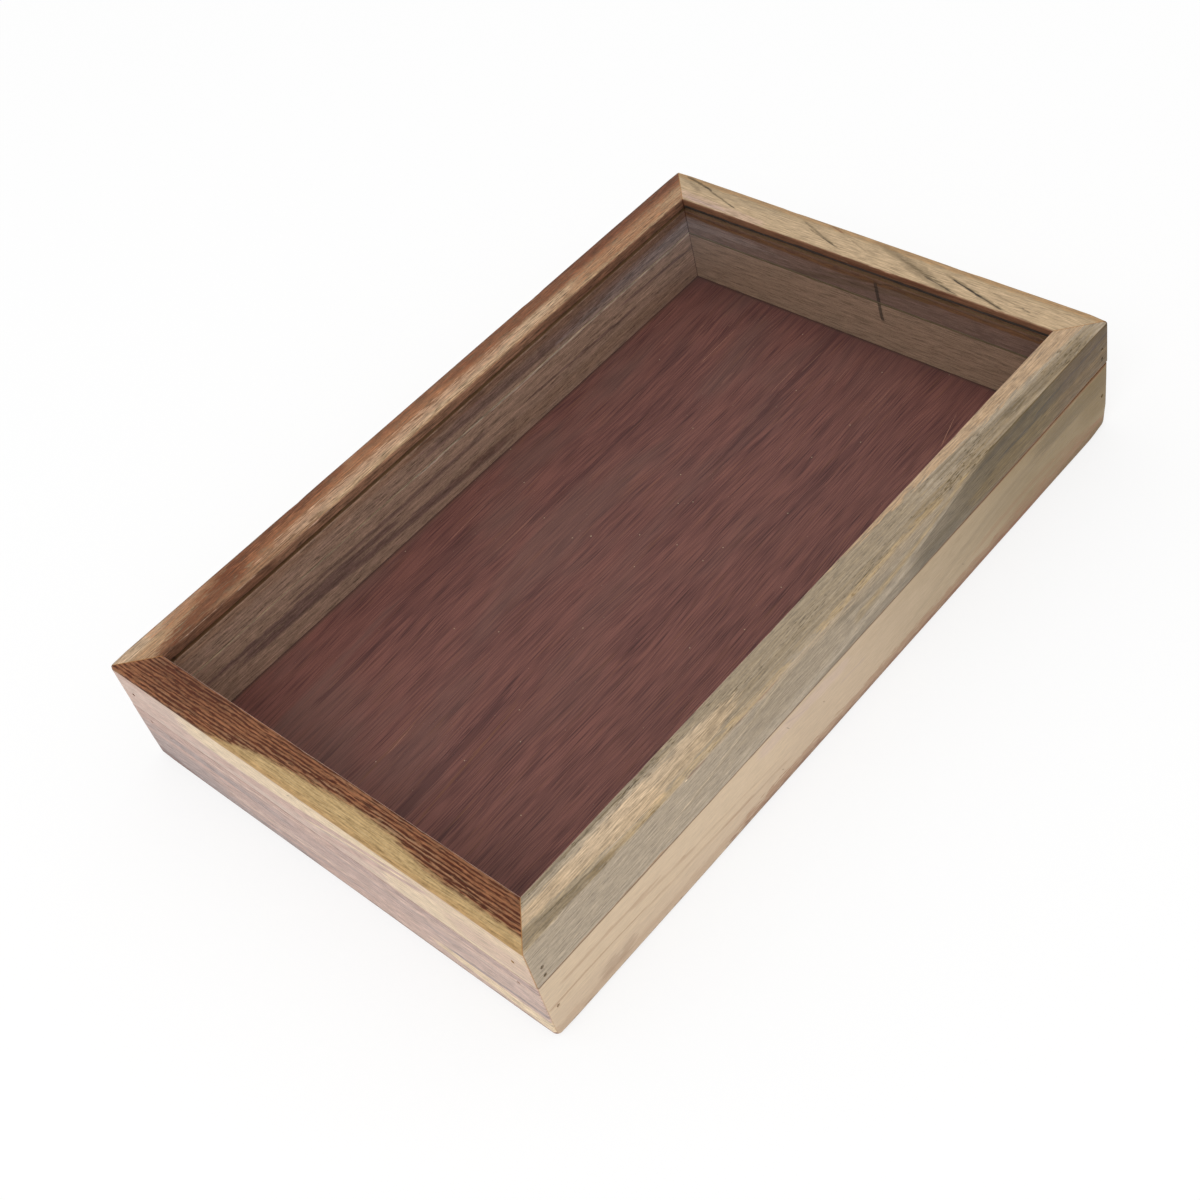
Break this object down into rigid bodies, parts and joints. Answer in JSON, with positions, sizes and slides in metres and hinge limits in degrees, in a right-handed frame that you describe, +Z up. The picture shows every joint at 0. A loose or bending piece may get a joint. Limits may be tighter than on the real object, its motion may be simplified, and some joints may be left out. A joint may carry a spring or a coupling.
{
  "type": "insect specimen box",
  "caption": "Shallow mitred wooden case for pinned insects, with a dark veneered floor and a lift-off wooden lid that holds a clear glass pane.",
  "frame": {"origin": "on the table under the middle of the box", "axes": "+Y along the box's length, +X across it, +Z up through the glass lid"},
  "size_m": [0.2, 0.31, 0.049],
  "materials": {
    "pine_cream": "sanded, thin satin varnish",
    "pine_mauve": "sanded, thin satin varnish",
    "pine_grey": "sanded, thin satin varnish",
    "pine_straw": "sanded, thin satin varnish",
    "striped_brown": "sanded, thin satin varnish",
    "floor_veneer": "dark red-brown veneer, satin",
    "glass": "clear, polished",
    "brad_steel": "dull, a little rusty"
  },
  "bodies": {
    "base": {"base_front_wall": "pine_mauve", "base_back_wall": "pine_grey", "base_left_wall": "pine_grey", "base_right_wall": "pine_cream", "floor_panel": "floor_veneer", "base_side_brads": "brad_steel", "base_end_brads": "brad_steel"},
    "lid": {"lid_front_rail": "striped_brown", "lid_back_rail": "pine_straw", "lid_left_rail": "striped_brown", "lid_right_rail": "pine_grey", "pane": "glass", "lid_side_brads": "brad_steel", "lid_end_brads": "brad_steel"}
  },
  "joints": [
    {"name": "lid_lift", "type": "slide", "parent": "base", "child": "lid", "axis": [0, 0, 1], "range_m": [0, 0.06]}
  ]
}
